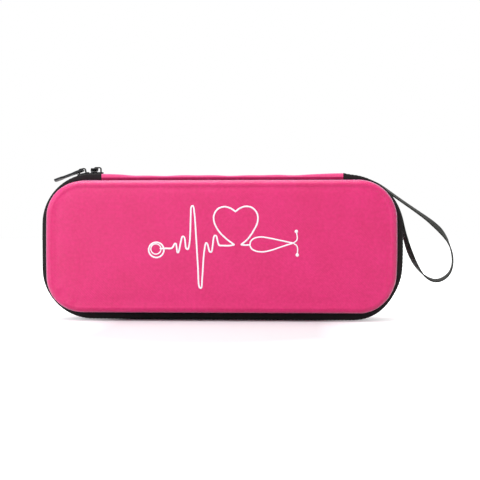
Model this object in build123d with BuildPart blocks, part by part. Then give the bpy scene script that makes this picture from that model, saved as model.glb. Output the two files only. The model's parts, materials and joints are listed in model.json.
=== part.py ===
from build123d import *
from math import atan2, cos, degrees, radians, sin, sqrt, tan
import os

# Zipped hard case for a stethoscope, standing on its long zipper edge.
#
# X runs along the length, -Y is the front (the lid), +Z is up, and the origin is at the
# middle of the floor contact.  Two moulded foam trays meet at the plane y = 0.  A fabric
# spine joins them along the top, a zipper closes the other three sides, two sliders are
# parked at the upper left corner and a ribbon loop is sewn on at the upper right corner.

# ---- driving dimensions, millimetres -------------------------------------------------
LENGTH = 288.0          # over the zipper belt
HEIGHT = 116.0          # over the zipper belt
DEPTH = 55.0            # front face to rear face
BELT_RADIUS = 40.0      # corners of the zipper belt
SIDE_BOW = 1.2          # how far the short sides bulge past their ends

LEDGE_X = 4.5           # belt stands out past the tray at the short sides
LEDGE_Z = 5.3           # belt stands out past the tray at the long sides
TRAY_RADIUS = 31.0      # corners of the tray where it leaves the ledge
TRAY_DRAFT = 1.4        # how far the tray narrows towards its face
FACE_ROUND = 4.6        # rounding between the tray's side and its face
CREASE_INSET = 5.2      # pressed crease, inward from the edge of the face
CREASE_WIDTH = 2.0
CREASE_DEPTH = 0.35
SHARPEST_ROUND = 0.8    # the least rounding of the innermost surfaces

COVER = 0.8             # outer woven fabric
FOAM = 3.0              # moulded foam tray
LINING = 0.6            # brushed inner lining

RIM_GAP = 6.0           # from y = 0 to the rim of each tray
FLANGE = 2.6            # thickness of the tray's flange
RIM_BINDING = 0.5       # soft edging over the rim
EDGE_BINDING = 0.7      # binding on the outer side of the flange
BINDING_INSET = 0.3     # that binding stays this far inside the tape's outer face
BINDING_ROUND = 0.3     # chamfer on its outer edge

TAPE = 0.7              # zipper tape thickness
COIL_WIDTH = 2.65       # width of each half of the zipper chain
COIL_SLOT = 0.55        # half of the slit between the two halves
COIL_DEEP = 2.2         # thickness of the chain
COIL_RECESS = 0.2       # chain lies this far under the tape's outer face

SPINE_SHORT = 7.88      # the fabric spine ends this far before the belt's corners
SPINE = 0.7             # spine fabric thickness
LINER = 0.5             # thickness of the liner under the spine
FOLD_GAP = 0.15         # from y = 0 to each half of the spine at the fold
JOIN_GAP = 0.2          # clearance round the zipper's fixed end section
STOP_LENGTH = 1.4       # end stop on the chain
STOP_HALF = 2.6         # half its width
STOP_ROUND = 0.5
END_SECTION = 22.5      # length of the zipper's fixed end section

SLIDER_LENGTH = 9.4
SLIDER_WIDE = 8.4       # at the mouth
SLIDER_NARROW = 6.4     # at the tail
SLIDER_LIFT = 0.35      # gap between the top plate and the tape
PLATE = 1.1             # slider plate thickness
PLATE_CORNER = 1.6      # rounded corners of the plates
BELLY_DEPTH = 3.1       # underside plate, below the tape's outer face
LIP = 0.8               # side lip thickness
LIP_TOP = 1.4           # top of the side lip, below the tape's outer face
WEB = 0.56              # web between the two plates
WEB_LENGTH = 2.0
CROWN_TOP = 5.5         # bridge height over the tape's outer face
CROWN_BAR = 0.8         # bridge thickness
CROWN_WIDE = 2.4
CROWN_TAIL = 3.3        # bridge foot towards the tail
CROWN_MOUTH = 2.8       # bridge foot towards the mouth
CROWN_ROUND = 1.3

SLIDER_A_ANGLE = 12.0   # slider A rests this far round the corner, degrees
SLIDER_B_GAP = 1.95     # free chain between the two sliders

PULL_LENGTH = 26.5
PULL_THICK = 1.3
PULL_BAR = 1.3          # diameter of the round bar under the bridge
PULL_EYE = 5.6          # width over the eye
PULL_SLOT_WIDE = 3.2
PULL_SLOT_LONG = 3.8
PULL_NECK = 3.6
PULL_GRIP_WIDE = 5.4
PULL_GRIP_LONG = 9.0
PULL_TAPER = 2.6        # length over which the tab changes width
PULL_CORNER = 0.9
PULL_A_DIP = 8.5        # pull A leans down from the track, degrees
PULL_A_HEIGHT = 3.9     # middle of its bar over the tape's outer face
PULL_A_BAR = -0.6       # bar of pull A along the slider, from its middle
PULL_B_HEIGHT = 3.5     # middle of the tab at the bridge foot
PULL_B_DIP = 9.0        # pull B leans down towards the back, degrees
PULL_B_YAW = 14.0       # pull B turned to the left of straight back, degrees
PULL_B_BAR = 2.2        # bar of pull B in front of the bridge foot

STRAP_WIDTH = 8.0
STRAP_THICK = 1.1
STRAP_Y = 7.6           # middle of the ribbon's width
STRAP_TAIL = 3.0        # sewn-down end of the ribbon
PLY_GAP = 0.2           # between the ribbon's two sewn ends
RUN_SHARE = 0.45        # share of a run that each of its bends takes
TACK = 0.4              # bar tack over the ribbon's ends
TACK_LENGTH = 5.0
TACK_CORNER = 0.8

BAND_WIDTH = 25.0       # elastic bands on the floor of the rear tray
BAND_THICK = 1.2
BAND_HEIGHT = 78.0
BAND_SPACING = 120.0
BAND_TAB = 6.0          # stitched end of a band
BAND_TAB_THICK = 0.6

NET_THICK = 0.8         # mesh pocket in the lid
NET_Y = 10.0            # distance of the pocket from y = 0
NET_TOP = 74.0
NET_GAP = 0.1           # clearance to the lining
HEM_HEIGHT = 8.0
HEM_THICK = 0.9

PRINT = 0.12            # thickness of the printed ink
PRINT_LINE = 1.55       # width of its lines
EAR_TIP = 1.35          # radius of the two ear tips

# ---- derived sizes -------------------------------------------------------------------
HALF_DEPTH = DEPTH / 2
MID_Z = HEIGHT / 2
FLANGE_BACK = RIM_GAP + FLANGE
LEDGE_BACK = FLANGE_BACK + EDGE_BINDING
WALL = COVER + FOAM + LINING
TAPE_EDGE = COIL_SLOT + COIL_WIDTH
CHAIN_BOTTOM = COIL_RECESS + COIL_DEEP

# centre of the belt's upper right corner, tangent to the top and to the bowed side
BOW_RADIUS = (MID_Z**2 + SIDE_BOW**2) / (2 * SIDE_BOW)
CORNER_Z = HEIGHT - BELT_RADIUS
CORNER_X = LENGTH / 2 - BOW_RADIUS + sqrt(
    (BOW_RADIUS - BELT_RADIUS) ** 2 - (CORNER_Z - MID_Z) ** 2
)
SPINE_HALF = CORNER_X - SPINE_SHORT
END_LEFT = -SPINE_HALF - END_SECTION

FRONT = -1              # the lid's side of y = 0
REAR = 1


def outline(ledge_x, ledge_z, radius):
    """Face outline: straight long sides, bowed short sides and round corners."""
    half = LENGTH / 2 - ledge_x
    top = HEIGHT / 2 - ledge_z
    end = half - SIDE_BOW
    with BuildSketch() as face:
        with BuildLine():
            Line((-end, top), (end, top))
            ThreePointArc((end, top), (half, 0), (end, -top))
            Line((end, -top), (-end, -top))
            ThreePointArc((-end, -top), (-half, 0), (-end, top))
        make_face()
        fillet(face.vertices(), radius)
    return face.sketch


def seam_plane(side, distance):
    """Plane across the case at a distance from the seam, facing away from it."""
    return Plane(origin=(0, side * distance, MID_Z), x_dir=(1, 0, 0), z_dir=(0, side, 0))


def belt_outline(inset):
    return outline(inset, inset, BELT_RADIUS - inset)


def tray_outline(inset):
    return outline(LEDGE_X + inset, LEDGE_Z + inset, TRAY_RADIUS - inset)


def ring(side, near, far, outer, inner):
    """Belt-shaped ring between two outlines and two distances from the seam."""
    with BuildPart() as band:
        with BuildSketch(seam_plane(side, near)):
            add(outer)
            add(inner, mode=Mode.SUBTRACT)
        extrude(amount=far - near)
    return band.part


def tray_form(side, inset, near, far):
    """Solid form of a tray: drafted sides and a rounded edge round its face."""
    with BuildPart() as form:
        with BuildSketch(seam_plane(side, near)):
            add(tray_outline(inset))
        with BuildSketch(seam_plane(side, far)):
            add(tray_outline(inset + TRAY_DRAFT))
        loft(ruled=True)
        face = form.faces().sort_by(Axis.Y)[0 if side == FRONT else -1]
        fillet(face.edges(), max(FACE_ROUND - inset, SHARPEST_ROUND))
    return form.part


def top_block(left, right, y_low=-DEPTH, y_high=DEPTH):
    """Block over a stretch of the belt's top edge, for cutting belt rings."""
    with BuildPart() as block:
        with BuildSketch(Plane.XY.offset(CORNER_Z)):
            with Locations(((left + right) / 2, (y_low + y_high) / 2)):
                Rectangle(right - left, y_high - y_low)
        extrude(amount=2 * BELT_RADIUS)
    return block.part


def keep(piece, *blocks):
    """The piece inside all the blocks."""
    with BuildPart() as kept:
        add(piece)
        for block in blocks:
            add(block, mode=Mode.INTERSECT)
    return kept.part


def remove(piece, *blocks):
    """The piece outside the blocks."""
    with BuildPart() as rest:
        add(piece)
        for block in blocks:
            add(block, mode=Mode.SUBTRACT)
    return rest.part


def join(*pieces):
    with BuildPart() as joined:
        for piece in pieces:
            add(piece)
    return joined.part


def write(part, name):
    part.label = name
    export_step(part, f"parts/{name}.step")


os.makedirs("parts", exist_ok=True)


# ---- the two trays with their fabric, lining and edgings ------------------------------
spine_zone = top_block(-SPINE_HALF, SPINE_HALF)
chain_zone = top_block(-SPINE_HALF - STOP_LENGTH, SPINE_HALF + STOP_LENGTH)
end_zone = top_block(END_LEFT, -SPINE_HALF, -RIM_GAP, 0)
rim_edge = -RIM_GAP + RIM_BINDING
end_keep = top_block(END_LEFT + JOIN_GAP, -SPINE_HALF, rim_edge + JOIN_GAP, 0)
end_chain = top_block(END_LEFT + JOIN_GAP, -SPINE_HALF - STOP_LENGTH, -RIM_GAP, 0)


def tape_ring(side):
    return ring(side, TAPE_EDGE, FLANGE_BACK, belt_outline(0), belt_outline(TAPE))


def chain_ring(side):
    outer = belt_outline(COIL_RECESS)
    return ring(side, COIL_SLOT, TAPE_EDGE, outer, belt_outline(CHAIN_BOTTOM))


def crease(side):
    """Shallow groove pressed into the face, a little way in from its edge."""
    edge = TRAY_DRAFT + CREASE_INSET
    deep = HALF_DEPTH - CREASE_DEPTH
    outer = tray_outline(edge)
    return ring(side, deep, HALF_DEPTH + CREASE_DEPTH, outer, tray_outline(edge + CREASE_WIDTH))


def make_tray(side, name):
    """One half of the case, from its cover to its lining, with its belt pieces."""
    face_y = HALF_DEPTH - COVER
    floor_y = face_y - FOAM
    bare_y = floor_y - LINING
    outside = tray_form(side, 0, FLANGE_BACK, HALF_DEPTH)
    under_cover = tray_form(side, COVER, FLANGE_BACK, face_y)
    hollow = tray_form(side, COVER + FOAM, RIM_GAP, floor_y)
    cavity = tray_form(side, WALL, RIM_GAP, bare_y)
    flange = ring(side, RIM_GAP, FLANGE_BACK, belt_outline(TAPE), tray_outline(COVER + FOAM))

    write(remove(outside, under_cover, crease(side)), f"{name}_cover")
    write(remove(join(under_cover, flange), hollow), f"{name}_shell")
    write(remove(hollow, cavity), f"{name}_lining")

    rim_y = RIM_GAP - RIM_BINDING
    rim = ring(side, rim_y, RIM_GAP, belt_outline(TAPE), tray_outline(WALL))
    write(rim, f"{name}_rim_binding")

    with BuildPart() as edging:
        ledge = belt_outline(BINDING_INSET)
        add(ring(side, FLANGE_BACK, LEDGE_BACK, ledge, tray_outline(0)))
        outer_face = edging.faces().sort_by(Axis.Y)[0 if side == FRONT else -1]
        chamfer(outer_face.outer_wire().edges(), BINDING_ROUND)
    write(remove(edging.part, spine_zone), f"{name}_edge_binding")

    cuts = [end_zone] if side == FRONT else []
    write(remove(tape_ring(side), spine_zone, *cuts), f"{name}_zipper_tape")
    write(remove(chain_ring(side), chain_zone, *cuts), f"{name}_zipper_coil")

    skin = ring(side, FOLD_GAP, FLANGE_BACK, belt_outline(0), belt_outline(SPINE))
    write(keep(join(skin, edging.part), spine_zone), f"{name}_spine")
    liner = ring(side, FOLD_GAP, rim_y, belt_outline(SPINE), belt_outline(SPINE + LINER))
    write(keep(liner, spine_zone), f"{name}_hinge_liner")


make_tray(REAR, "rear")
make_tray(FRONT, "front")

# the fixed end of the zipper beside the hinge, and the stops on its two ends
end_section = join(
    keep(tape_ring(FRONT), end_keep),
    keep(chain_ring(FRONT), end_chain),
)
write(end_section, "zipper_end_section")
for stop_name, stop_side in (("end_stop_left", -1), ("end_stop_right", 1)):
    with BuildPart() as stop:
        with BuildSketch(Plane.XY.offset(HEIGHT - CHAIN_BOTTOM)):
            with Locations((stop_side * (SPINE_HALF + STOP_LENGTH / 2), 0)):
                Rectangle(STOP_LENGTH, 2 * STOP_HALF)
        extrude(amount=COIL_DEEP)
        fillet(stop.edges().filter_by(Axis.X), STOP_ROUND)
    write(stop.part, stop_name)


# ---- sliders ---------------------------------------------------------------------------
def rounded_plate(track, height, tail_wide):
    """Slider plate, full width at the mouth and as given at the tail."""
    half = SLIDER_LENGTH / 2
    with BuildPart() as plate:
        with BuildSketch(track.offset(height)) as flat:
            with BuildLine():
                Polyline(
                    (half, SLIDER_WIDE / 2),
                    (half, -SLIDER_WIDE / 2),
                    (-half, -tail_wide / 2),
                    (-half, tail_wide / 2),
                    close=True,
                )
            make_face()
            fillet(flat.vertices(), PLATE_CORNER)
        extrude(amount=PLATE)
    return plate.part


def make_slider(track, name):
    """Slider with its mouth towards the plane's x: plates, side lips, web and bridge."""
    lip_y = (SLIDER_WIDE - LIP) / 2
    with BuildPart() as body:
        add(rounded_plate(track, SLIDER_LIFT, SLIDER_NARROW))
        add(rounded_plate(track, -BELLY_DEPTH - PLATE, SLIDER_WIDE))
        with BuildSketch(track.offset(-BELLY_DEPTH)):
            with Locations((0, lip_y), (0, -lip_y)):
                Rectangle(SLIDER_LENGTH - 2 * PLATE_CORNER, LIP)
        extrude(amount=BELLY_DEPTH - LIP_TOP)
        with BuildSketch(track.offset(-BELLY_DEPTH)):
            with Locations((SLIDER_LENGTH / 2 - WEB_LENGTH, 0)):
                Rectangle(WEB_LENGTH, WEB)
        extrude(amount=BELLY_DEPTH + SLIDER_LIFT)
    write(body.part, f"{name}_body")

    lengthwise = Plane(origin=track.origin, x_dir=track.x_dir, z_dir=-track.y_dir)
    foot = SLIDER_LIFT + PLATE
    crest = CROWN_TOP - CROWN_BAR / 2
    tail = -CROWN_TAIL + CROWN_BAR / 2
    mouth = CROWN_MOUTH - CROWN_BAR / 2
    with BuildPart() as bridge:
        with BuildSketch(lengthwise):
            with BuildLine() as arch:
                FilletPolyline(
                    (tail, foot), (tail, crest), (mouth, crest), (mouth, foot),
                    radius=CROWN_ROUND,
                )
            trace(arch.line, line_width=CROWN_BAR)
        extrude(amount=CROWN_WIDE / 2, both=True)
    write(bridge.part, f"{name}_bridge")


def make_pull(plane, name):
    """Pull tab along the plane's x, from the round bar under the bridge at its origin."""
    eye_end = PULL_BAR / 2 + PULL_SLOT_LONG
    shoulder = eye_end + PULL_BAR
    neck_start = shoulder + PULL_TAPER
    grip = PULL_LENGTH - PULL_GRIP_LONG
    with BuildPart() as tab:
        with BuildSketch(plane) as flat:
            with BuildLine():
                Polyline(
                    (0, 0),
                    (0, PULL_EYE / 2),
                    (shoulder, PULL_EYE / 2),
                    (neck_start, PULL_NECK / 2),
                    (grip, PULL_NECK / 2),
                    (grip + PULL_TAPER, PULL_GRIP_WIDE / 2),
                    (PULL_LENGTH, PULL_GRIP_WIDE / 2),
                    (PULL_LENGTH, 0),
                )
                mirror(about=Plane.XZ)
            make_face()
            fillet(flat.vertices().filter_by(lambda v: v.Y != 0 and v.X > 0), PULL_CORNER)
            with Locations((eye_end / 2, 0)):
                Rectangle(eye_end, PULL_SLOT_WIDE, mode=Mode.SUBTRACT)
        extrude(amount=PULL_THICK / 2, both=True)
        with BuildSketch(Plane(origin=plane.origin, x_dir=plane.x_dir, z_dir=plane.y_dir)):
            Circle(PULL_BAR / 2)
        extrude(amount=PULL_EYE / 2, both=True)
    write(tab.part, name)


# slider A rests a little way round the corner, slider B beside it on the straight
tilt = radians(SLIDER_A_ANGLE)
track_a = Plane(
    origin=(-CORNER_X - BELT_RADIUS * sin(tilt), 0, CORNER_Z + BELT_RADIUS * cos(tilt)),
    x_dir=(cos(tilt), 0, sin(tilt)),
    z_dir=(-sin(tilt), 0, cos(tilt)),
)
slider_b_x = SLIDER_LENGTH + SLIDER_B_GAP - CORNER_X - BELT_RADIUS * tilt
track_b = Plane(origin=(slider_b_x, 0, HEIGHT), x_dir=(-1, 0, 0), z_dir=(0, 0, 1))
make_slider(track_a, "slider_a")
make_slider(track_b, "slider_b")

# pull A lies back along the track and leans down over the corner
bar_a = track_a.from_local_coords(Vector(PULL_A_BAR, 0, PULL_A_HEIGHT))
lean_a = tilt + radians(PULL_A_DIP)
make_pull(
    Plane(origin=bar_a, x_dir=(-cos(lean_a), 0, -sin(lean_a)), z_dir=(-sin(lean_a), 0, cos(lean_a))),
    "slider_a_pull",
)

# pull B hooks round the bridge foot nearest slider A and points to the back
foot_b = track_b.from_local_coords(
    Vector(CROWN_MOUTH - CROWN_BAR / 2, 0, PULL_B_HEIGHT)
)
yaw_b = radians(PULL_B_YAW)
dip_b = radians(PULL_B_DIP)
along_b = Vector(-sin(yaw_b) * cos(dip_b), cos(yaw_b) * cos(dip_b), -sin(dip_b))
upward_b = Vector(-sin(yaw_b) * sin(dip_b), cos(yaw_b) * sin(dip_b), cos(dip_b))
make_pull(
    Plane(origin=foot_b - along_b * PULL_B_BAR, x_dir=along_b, z_dir=upward_b),
    "slider_b_pull",
)


# ---- wrist strap: one flat ribbon, both ends sewn to the rear half's belt -----------------
# its loop in X and Z from the centre of the belt's upper right corner, starting at the
# outer end and coming back to the end that lies on the belt
LOOP_SHAPE = [
    (38.52, 22), (51.22, 12.9), (63.82, 3.9), (74.52, -6.4),
    (81.02, -18.8), (82.62, -31.6), (78.22, -41.8), (68.82, -47.2),
    (59.42, -44.4), (52.62, -35.2), (48.22, -25.2), (45.02, -14.6),
    (42.82, -4.4), (41.82, 4.6), (39.92, 13.2), (35.02, 22.9),
]
STRAP_LOOP = [(CORNER_X + along, CORNER_Z + up) for along, up in LOOP_SHAPE]


def corner_point(out, along):
    """Point by the middle of the upper right corner: outward and down along the belt."""
    reach = BELT_RADIUS + out
    return (
        CORNER_X + (reach + along) / sqrt(2),
        CORNER_Z + (reach - along) / sqrt(2),
    )


def bend_radii(points):
    """As large an arc at each corner as its two runs allow."""
    radii = []
    for before, here, after in zip(points, points[1:], points[2:]):
        first = Vector(*here) - Vector(*before)
        second = Vector(*after) - Vector(*here)
        run = min(first.length, second.length)
        radii.append(RUN_SHARE * run / tan(radians(first.get_angle(second)) / 2))
    return radii


outer_end = corner_point(1.5 * STRAP_THICK + PLY_GAP, -STRAP_TAIL)
inner_end = corner_point(0.5 * STRAP_THICK, -STRAP_TAIL)
strap_route = [outer_end, *STRAP_LOOP, inner_end]
strap_radii = bend_radii(strap_route)
print("strap radii", [round(radius, 1) for radius in strap_radii])
strap_plane = Plane(origin=(0, STRAP_Y, 0), x_dir=(1, 0, 0), z_dir=(0, -1, 0))
with BuildPart() as strap:
    with BuildSketch(strap_plane):
        with BuildLine() as route:
            FilletPolyline(*strap_route, radius=strap_radii)
        trace(route.line, line_width=STRAP_THICK)
    extrude(amount=STRAP_WIDTH / 2, both=True)
write(strap.part, "wrist_strap")
strap_length = sum(edge.length for edge in route.edges())
print("strap length", round(strap_length, 1))
print("strap volume share", round(strap.part.volume / (strap_length * STRAP_THICK * STRAP_WIDTH), 3))

leave = (Vector(*STRAP_LOOP[0]) - Vector(*outer_end)).normalized()
tack_plane = Plane(
    origin=(outer_end[0], STRAP_Y, outer_end[1]),
    x_dir=(leave.X, 0, leave.Y),
    z_dir=(-leave.Y, 0, leave.X),
)
with BuildPart() as tack:
    with BuildSketch(tack_plane.offset(STRAP_THICK / 2)):
        with Locations((TACK_LENGTH / 2, 0)):
            RectangleRounded(TACK_LENGTH, STRAP_WIDTH, TACK_CORNER)
    extrude(amount=TACK)
write(tack.part, "strap_tack")


# ---- inside the rear tray: two elastic bands stitched flat across its floor ---------------
floor_y = HALF_DEPTH - WALL
for band_name, band_side in (("retaining_band_left", -1), ("retaining_band_right", 1)):
    with BuildPart() as band:
        with BuildSketch(Plane(origin=(0, floor_y, MID_Z), x_dir=(1, 0, 0), z_dir=(0, -1, 0))):
            with Locations((band_side * BAND_SPACING / 2, 0)):
                Rectangle(BAND_WIDTH, BAND_HEIGHT)
        extrude(amount=BAND_THICK)
    write(band.part, band_name)
with BuildPart() as tabs:
    tab_plane = Plane(
        origin=(0, floor_y - BAND_THICK, MID_Z), x_dir=(1, 0, 0), z_dir=(0, -1, 0)
    )
    with BuildSketch(tab_plane):
        with GridLocations(BAND_SPACING, BAND_HEIGHT - BAND_TAB, 2, 2):
            Rectangle(BAND_WIDTH, BAND_TAB)
    extrude(amount=BAND_TAB_THICK)
write(tabs.part, "band_end_tabs")


# ---- inside the lid: a mesh pocket with an elastic hem ------------------------------------
pocket_inset = WALL + TRAY_DRAFT * (NET_Y + NET_THICK - RIM_GAP) / (floor_y - RIM_GAP)
pocket_outline = tray_outline(pocket_inset + NET_GAP)


def pocket_sheet(near, far, bottom, top):
    """Sheet across the lid between two heights, as wide as the tray inside."""
    with BuildPart() as sheet:
        with BuildSketch(seam_plane(FRONT, near)):
            add(pocket_outline)
            with Locations((0, (bottom + top) / 2 - MID_Z)):
                Rectangle(LENGTH, top - bottom, mode=Mode.INTERSECT)
        extrude(amount=far - near)
    return sheet.part


write(pocket_sheet(NET_Y, NET_Y + NET_THICK, 0, NET_TOP), "pocket_net")
write(pocket_sheet(NET_Y - HEM_THICK, NET_Y, NET_TOP - HEM_HEIGHT, NET_TOP), "pocket_hem")


# ---- line print on the lid: stethoscope, heartbeat and heart -------------------------------
def stroke(start, end):
    """Round-ended straight line of ink."""
    run = Vector(*end) - Vector(*start)
    middle = (Vector(*end) + Vector(*start)) / 2
    with Locations(middle):
        SlotCenterToCenter(run.length, PRINT_LINE, rotation=degrees(atan2(run.Y, run.X)))


def curve(start, through, end):
    """Round-ended arc of ink."""
    SlotArc(Edge.make_three_point_arc(start, through, end), PRINT_LINE)


def ring_of_ink(centre, radius):
    with Locations(centre):
        Circle(radius + PRINT_LINE / 2)
        Circle(radius - PRINT_LINE / 2, mode=Mode.SUBTRACT)


def zigzag(points):
    for start, end in zip(points, points[1:]):
        stroke(start, end)


# places on the face, from its middle: X to the right and Y up
CHEST_PIECE = (-48.5, -3.0)
CHEST_RINGS = (6.0, 3.9)
PULSE = [
    (-44.6, -2.4), (-35.8, -1.9), (-33.2, 1.6), (-31.2, -5.4), (-27.0, 7.0), (-23.6, -2.8),
    (-20.0, 31.0), (-13.7, -33.2), (-8.7, 2.0), (-5.8, -5.0), (-2.0, 7.8), (0.8, 0.2),
    (12.4, 0.2),
]
HEART_TIP_LEFT = (12.4, 0.4)
HEART_LEFT = (-3.6, 22.0)
HEART_CLEFT = (13.8, 26.5)
HEART_RIGHT = (31.6, 22.0)
HEART_TIP_RIGHT = (18.4, 0.6)
HEART_ARCS = [
    (HEART_TIP_LEFT, (1.4, 10.4), HEART_LEFT),
    (HEART_LEFT, (3.6, 30.8), HEART_CLEFT),
    (HEART_CLEFT, (23.8, 31.0), HEART_RIGHT),
    (HEART_RIGHT, (27.4, 10.8), HEART_TIP_RIGHT),
]
TUBE_START = (25.2, 0.6)
TUBE_TOP = (36.0, 7.0)
TUBE_BOTTOM = (36.0, -4.8)
TUBE_TOP_BEND = (28.4, 6.0)
TUBE_BOTTOM_BEND = (28.4, -4.0)
TUBE_CROSS = (58.6, 2.0)
EAR_REACH = [(3.4, 3.0), (3.0, 9.0)]        # from the crossing to the upper ear tip
EAR_DROP = [(3.8, -3.0), (3.6, -9.4)]       # from the crossing to the lower ear tip

with BuildPart() as ink:
    with BuildSketch(seam_plane(FRONT, HALF_DEPTH)):
        for radius in CHEST_RINGS:
            ring_of_ink(CHEST_PIECE, radius)
        zigzag(PULSE)
        for arc_points in HEART_ARCS:
            curve(*arc_points)
        stroke(HEART_TIP_RIGHT, TUBE_START)
        curve(TUBE_START, TUBE_TOP_BEND, TUBE_TOP)
        curve(TUBE_START, TUBE_BOTTOM_BEND, TUBE_BOTTOM)
        stroke(TUBE_TOP, TUBE_CROSS)
        stroke(TUBE_BOTTOM, TUBE_CROSS)
        for reach in (EAR_REACH, EAR_DROP):
            ear = [(TUBE_CROSS[0] + along, TUBE_CROSS[1] + up) for along, up in reach]
            zigzag([TUBE_CROSS, *ear])
            with Locations(ear[-1]):
                Circle(EAR_TIP)
    extrude(amount=PRINT)
write(ink.part, "lid_print")
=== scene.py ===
"""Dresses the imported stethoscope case: woven covers, zipper, strap, print and interior.

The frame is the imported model: X along the length, -Y the front (the lid), +Z up, metres.
Sizes below are in millimetres and are turned into metres by MM.
"""
import json
from math import atan2, cos, hypot, pi, radians, sin, sqrt

import bmesh
import bpy
import numpy as np
from mathutils import Matrix, Vector

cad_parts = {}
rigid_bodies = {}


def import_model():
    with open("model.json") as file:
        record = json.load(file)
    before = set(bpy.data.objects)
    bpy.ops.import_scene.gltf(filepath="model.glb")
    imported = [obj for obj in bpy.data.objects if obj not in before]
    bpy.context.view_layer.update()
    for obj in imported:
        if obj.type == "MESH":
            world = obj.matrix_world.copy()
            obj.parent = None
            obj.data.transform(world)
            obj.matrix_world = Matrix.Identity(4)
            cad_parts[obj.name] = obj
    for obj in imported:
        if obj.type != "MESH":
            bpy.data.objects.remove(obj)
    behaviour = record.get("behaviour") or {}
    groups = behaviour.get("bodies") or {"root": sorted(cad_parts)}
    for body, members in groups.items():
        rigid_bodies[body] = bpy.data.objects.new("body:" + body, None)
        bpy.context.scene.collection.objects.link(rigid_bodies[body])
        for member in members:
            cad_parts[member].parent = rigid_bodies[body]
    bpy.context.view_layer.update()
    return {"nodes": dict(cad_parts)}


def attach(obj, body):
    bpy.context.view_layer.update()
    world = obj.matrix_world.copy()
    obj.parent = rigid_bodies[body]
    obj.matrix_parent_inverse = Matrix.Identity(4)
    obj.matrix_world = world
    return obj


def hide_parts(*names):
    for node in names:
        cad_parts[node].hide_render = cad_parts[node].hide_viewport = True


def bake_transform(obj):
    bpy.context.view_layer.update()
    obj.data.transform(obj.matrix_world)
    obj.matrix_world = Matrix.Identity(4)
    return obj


MM = 0.001
for stale in list(bpy.data.objects):
    bpy.data.objects.remove(stale)
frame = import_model()
nodes = frame["nodes"]

# ---- sizes shared with the solids, millimetres -----------
LENGTH, HEIGHT, DEPTH = 288.0, 116.0, 55.0
MID_Z = HEIGHT / 2
BELT_RADIUS, SIDE_BOW = 40.0, 1.2
LEDGE_X, LEDGE_Z, TRAY_RADIUS = 4.5, 5.3, 31.0
TRAY_DRAFT, RIM_GAP = 1.4, 6.0
COVER, FOAM, LINING = 0.8, 3.0, 0.6
WALL = COVER + FOAM + LINING
FACE_Y = DEPTH / 2
FLOOR_Y = FACE_Y - WALL
SPINE_HALF = 96.0
END_X = -118.5  # far end of the zipper's fixed end section
STOP = 1.4  # length of an end stop, at each end of the spine
FRONT, REAR = -1, 1
HALVES = ((FRONT, "front", "lid"), (REAR, "rear", "base"))


# ---- mesh helpers ----------------------------------------
def joined(*parts):
    """Points from their separate coordinates; a single number holds for all points."""
    return np.stack(np.broadcast_arrays(*parts), 1)


def arc(centre, radius, start, end, count):
    """Points of a circular arc, angles in radians, both ends included."""
    angles = np.linspace(start, end, count)
    return joined(centre[0] + radius * np.cos(angles), centre[1] + radius * np.sin(angles))


def run_along(points):
    """Length from the first point to each point of a line."""
    return np.concatenate([[0], np.cumsum(np.linalg.norm(np.diff(points, axis=0), axis=1))])


def bell(value, middle, width):
    """Smooth hump of height 1."""
    return np.exp(-(((value - middle) / width) ** 2))


def outline(ledge_x, ledge_z, radius):
    """Closed ring of (x, z) points round the face, clockwise from the top middle.

    Every outline has its points at the same places along its lines and corners.
    """
    half, top = LENGTH / 2 - ledge_x, HEIGHT / 2 - ledge_z
    bow = (top**2 + SIDE_BOW**2) / (2 * SIDE_BOW)
    corner_z = top - radius
    corner_x = half - bow + sqrt((bow - radius) ** 2 - corner_z**2)
    lean = atan2(corner_z, corner_x - half + bow)
    flat = np.linspace(0, SPINE_HALF, 49)[:-1]
    join = np.linspace(SPINE_HALF, corner_x, 6)[:-1]
    line = np.array([(x, top) for x in [*flat, *join]])
    corner = arc((corner_x, corner_z), radius, pi / 2, lean, 31)[:-1]
    side = arc((half - bow, 0), bow, lean, 0, 13)
    quarter = np.concatenate([line, corner, side])
    back = quarter[::-1][:-1]
    ring = np.concatenate(
        [quarter[:-1], back * (1, -1), quarter[:-1] * (-1, -1), back * (-1, 1)]
    )
    return ring + (0, MID_Z)


def settled(ring, corner_in, side_in, lift, left_in=0.0):
    """Ring as the worn cloth sits: its ends and right corners drawn in, lower left edge lifted."""
    x, z = ring[:, 0], ring[:, 1] - MID_Z
    right = np.clip((x - SPINE_HALF) / (LENGTH / 2 - SPINE_HALF), 0, 1)
    right = right * right * (3 - 2 * right)
    corners = bell(z, 44, 17) * corner_in[0] + bell(z, -40, 19) * corner_in[1]
    left = left_in * (x < -SPINE_HALF) * np.clip((44 - np.abs(z)) / 22, 0, 1)
    fall = np.clip((x - SPINE_HALF - 1) / 30, 0, 1) * np.clip(z / 40, 0, 1) * bell(x, 124, 14)
    raised = np.clip((70 - x) / 170, 0, 1) * np.clip((-z - 14) / 30, 0, 1) * lift
    lowered = ring[:, 1] - 0.8 * corner_in[0] * fall + raised
    return joined(x - right * (side_in + corners) + left, lowered)


# how much lower the belt lies at its upper right corner, by x
BELT_DROP = [
    (95.9, 0.0), (96.5, 0.25), (99, 0.8), (103, 1.4), (108, 1.75), (112, 1.8), (119, 1.35),
    (126, 0.0),
]


def belt(inset):
    """Outline of the zipper belt, this far inside its edge."""
    ring = outline(inset, inset, max(BELT_RADIUS - inset, 0.5))
    ring = settled(ring, (2.2, 1.9), 1.1, 0.5)
    drop = np.interp(ring[:, 0], *zip(*BELT_DROP)) * (ring[:, 1] > MID_Z + 20)
    return ring - joined(0, drop)


def tray(inset):
    """Outline of the trays where they leave the ledge, this far inside."""
    ring = outline(LEDGE_X + inset, LEDGE_Z + inset, max(TRAY_RADIUS - inset, 0.5))
    return settled(ring, (0.0, 0.9), 1.0, 0.0, 1.0)


RING = len(belt(0))


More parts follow.
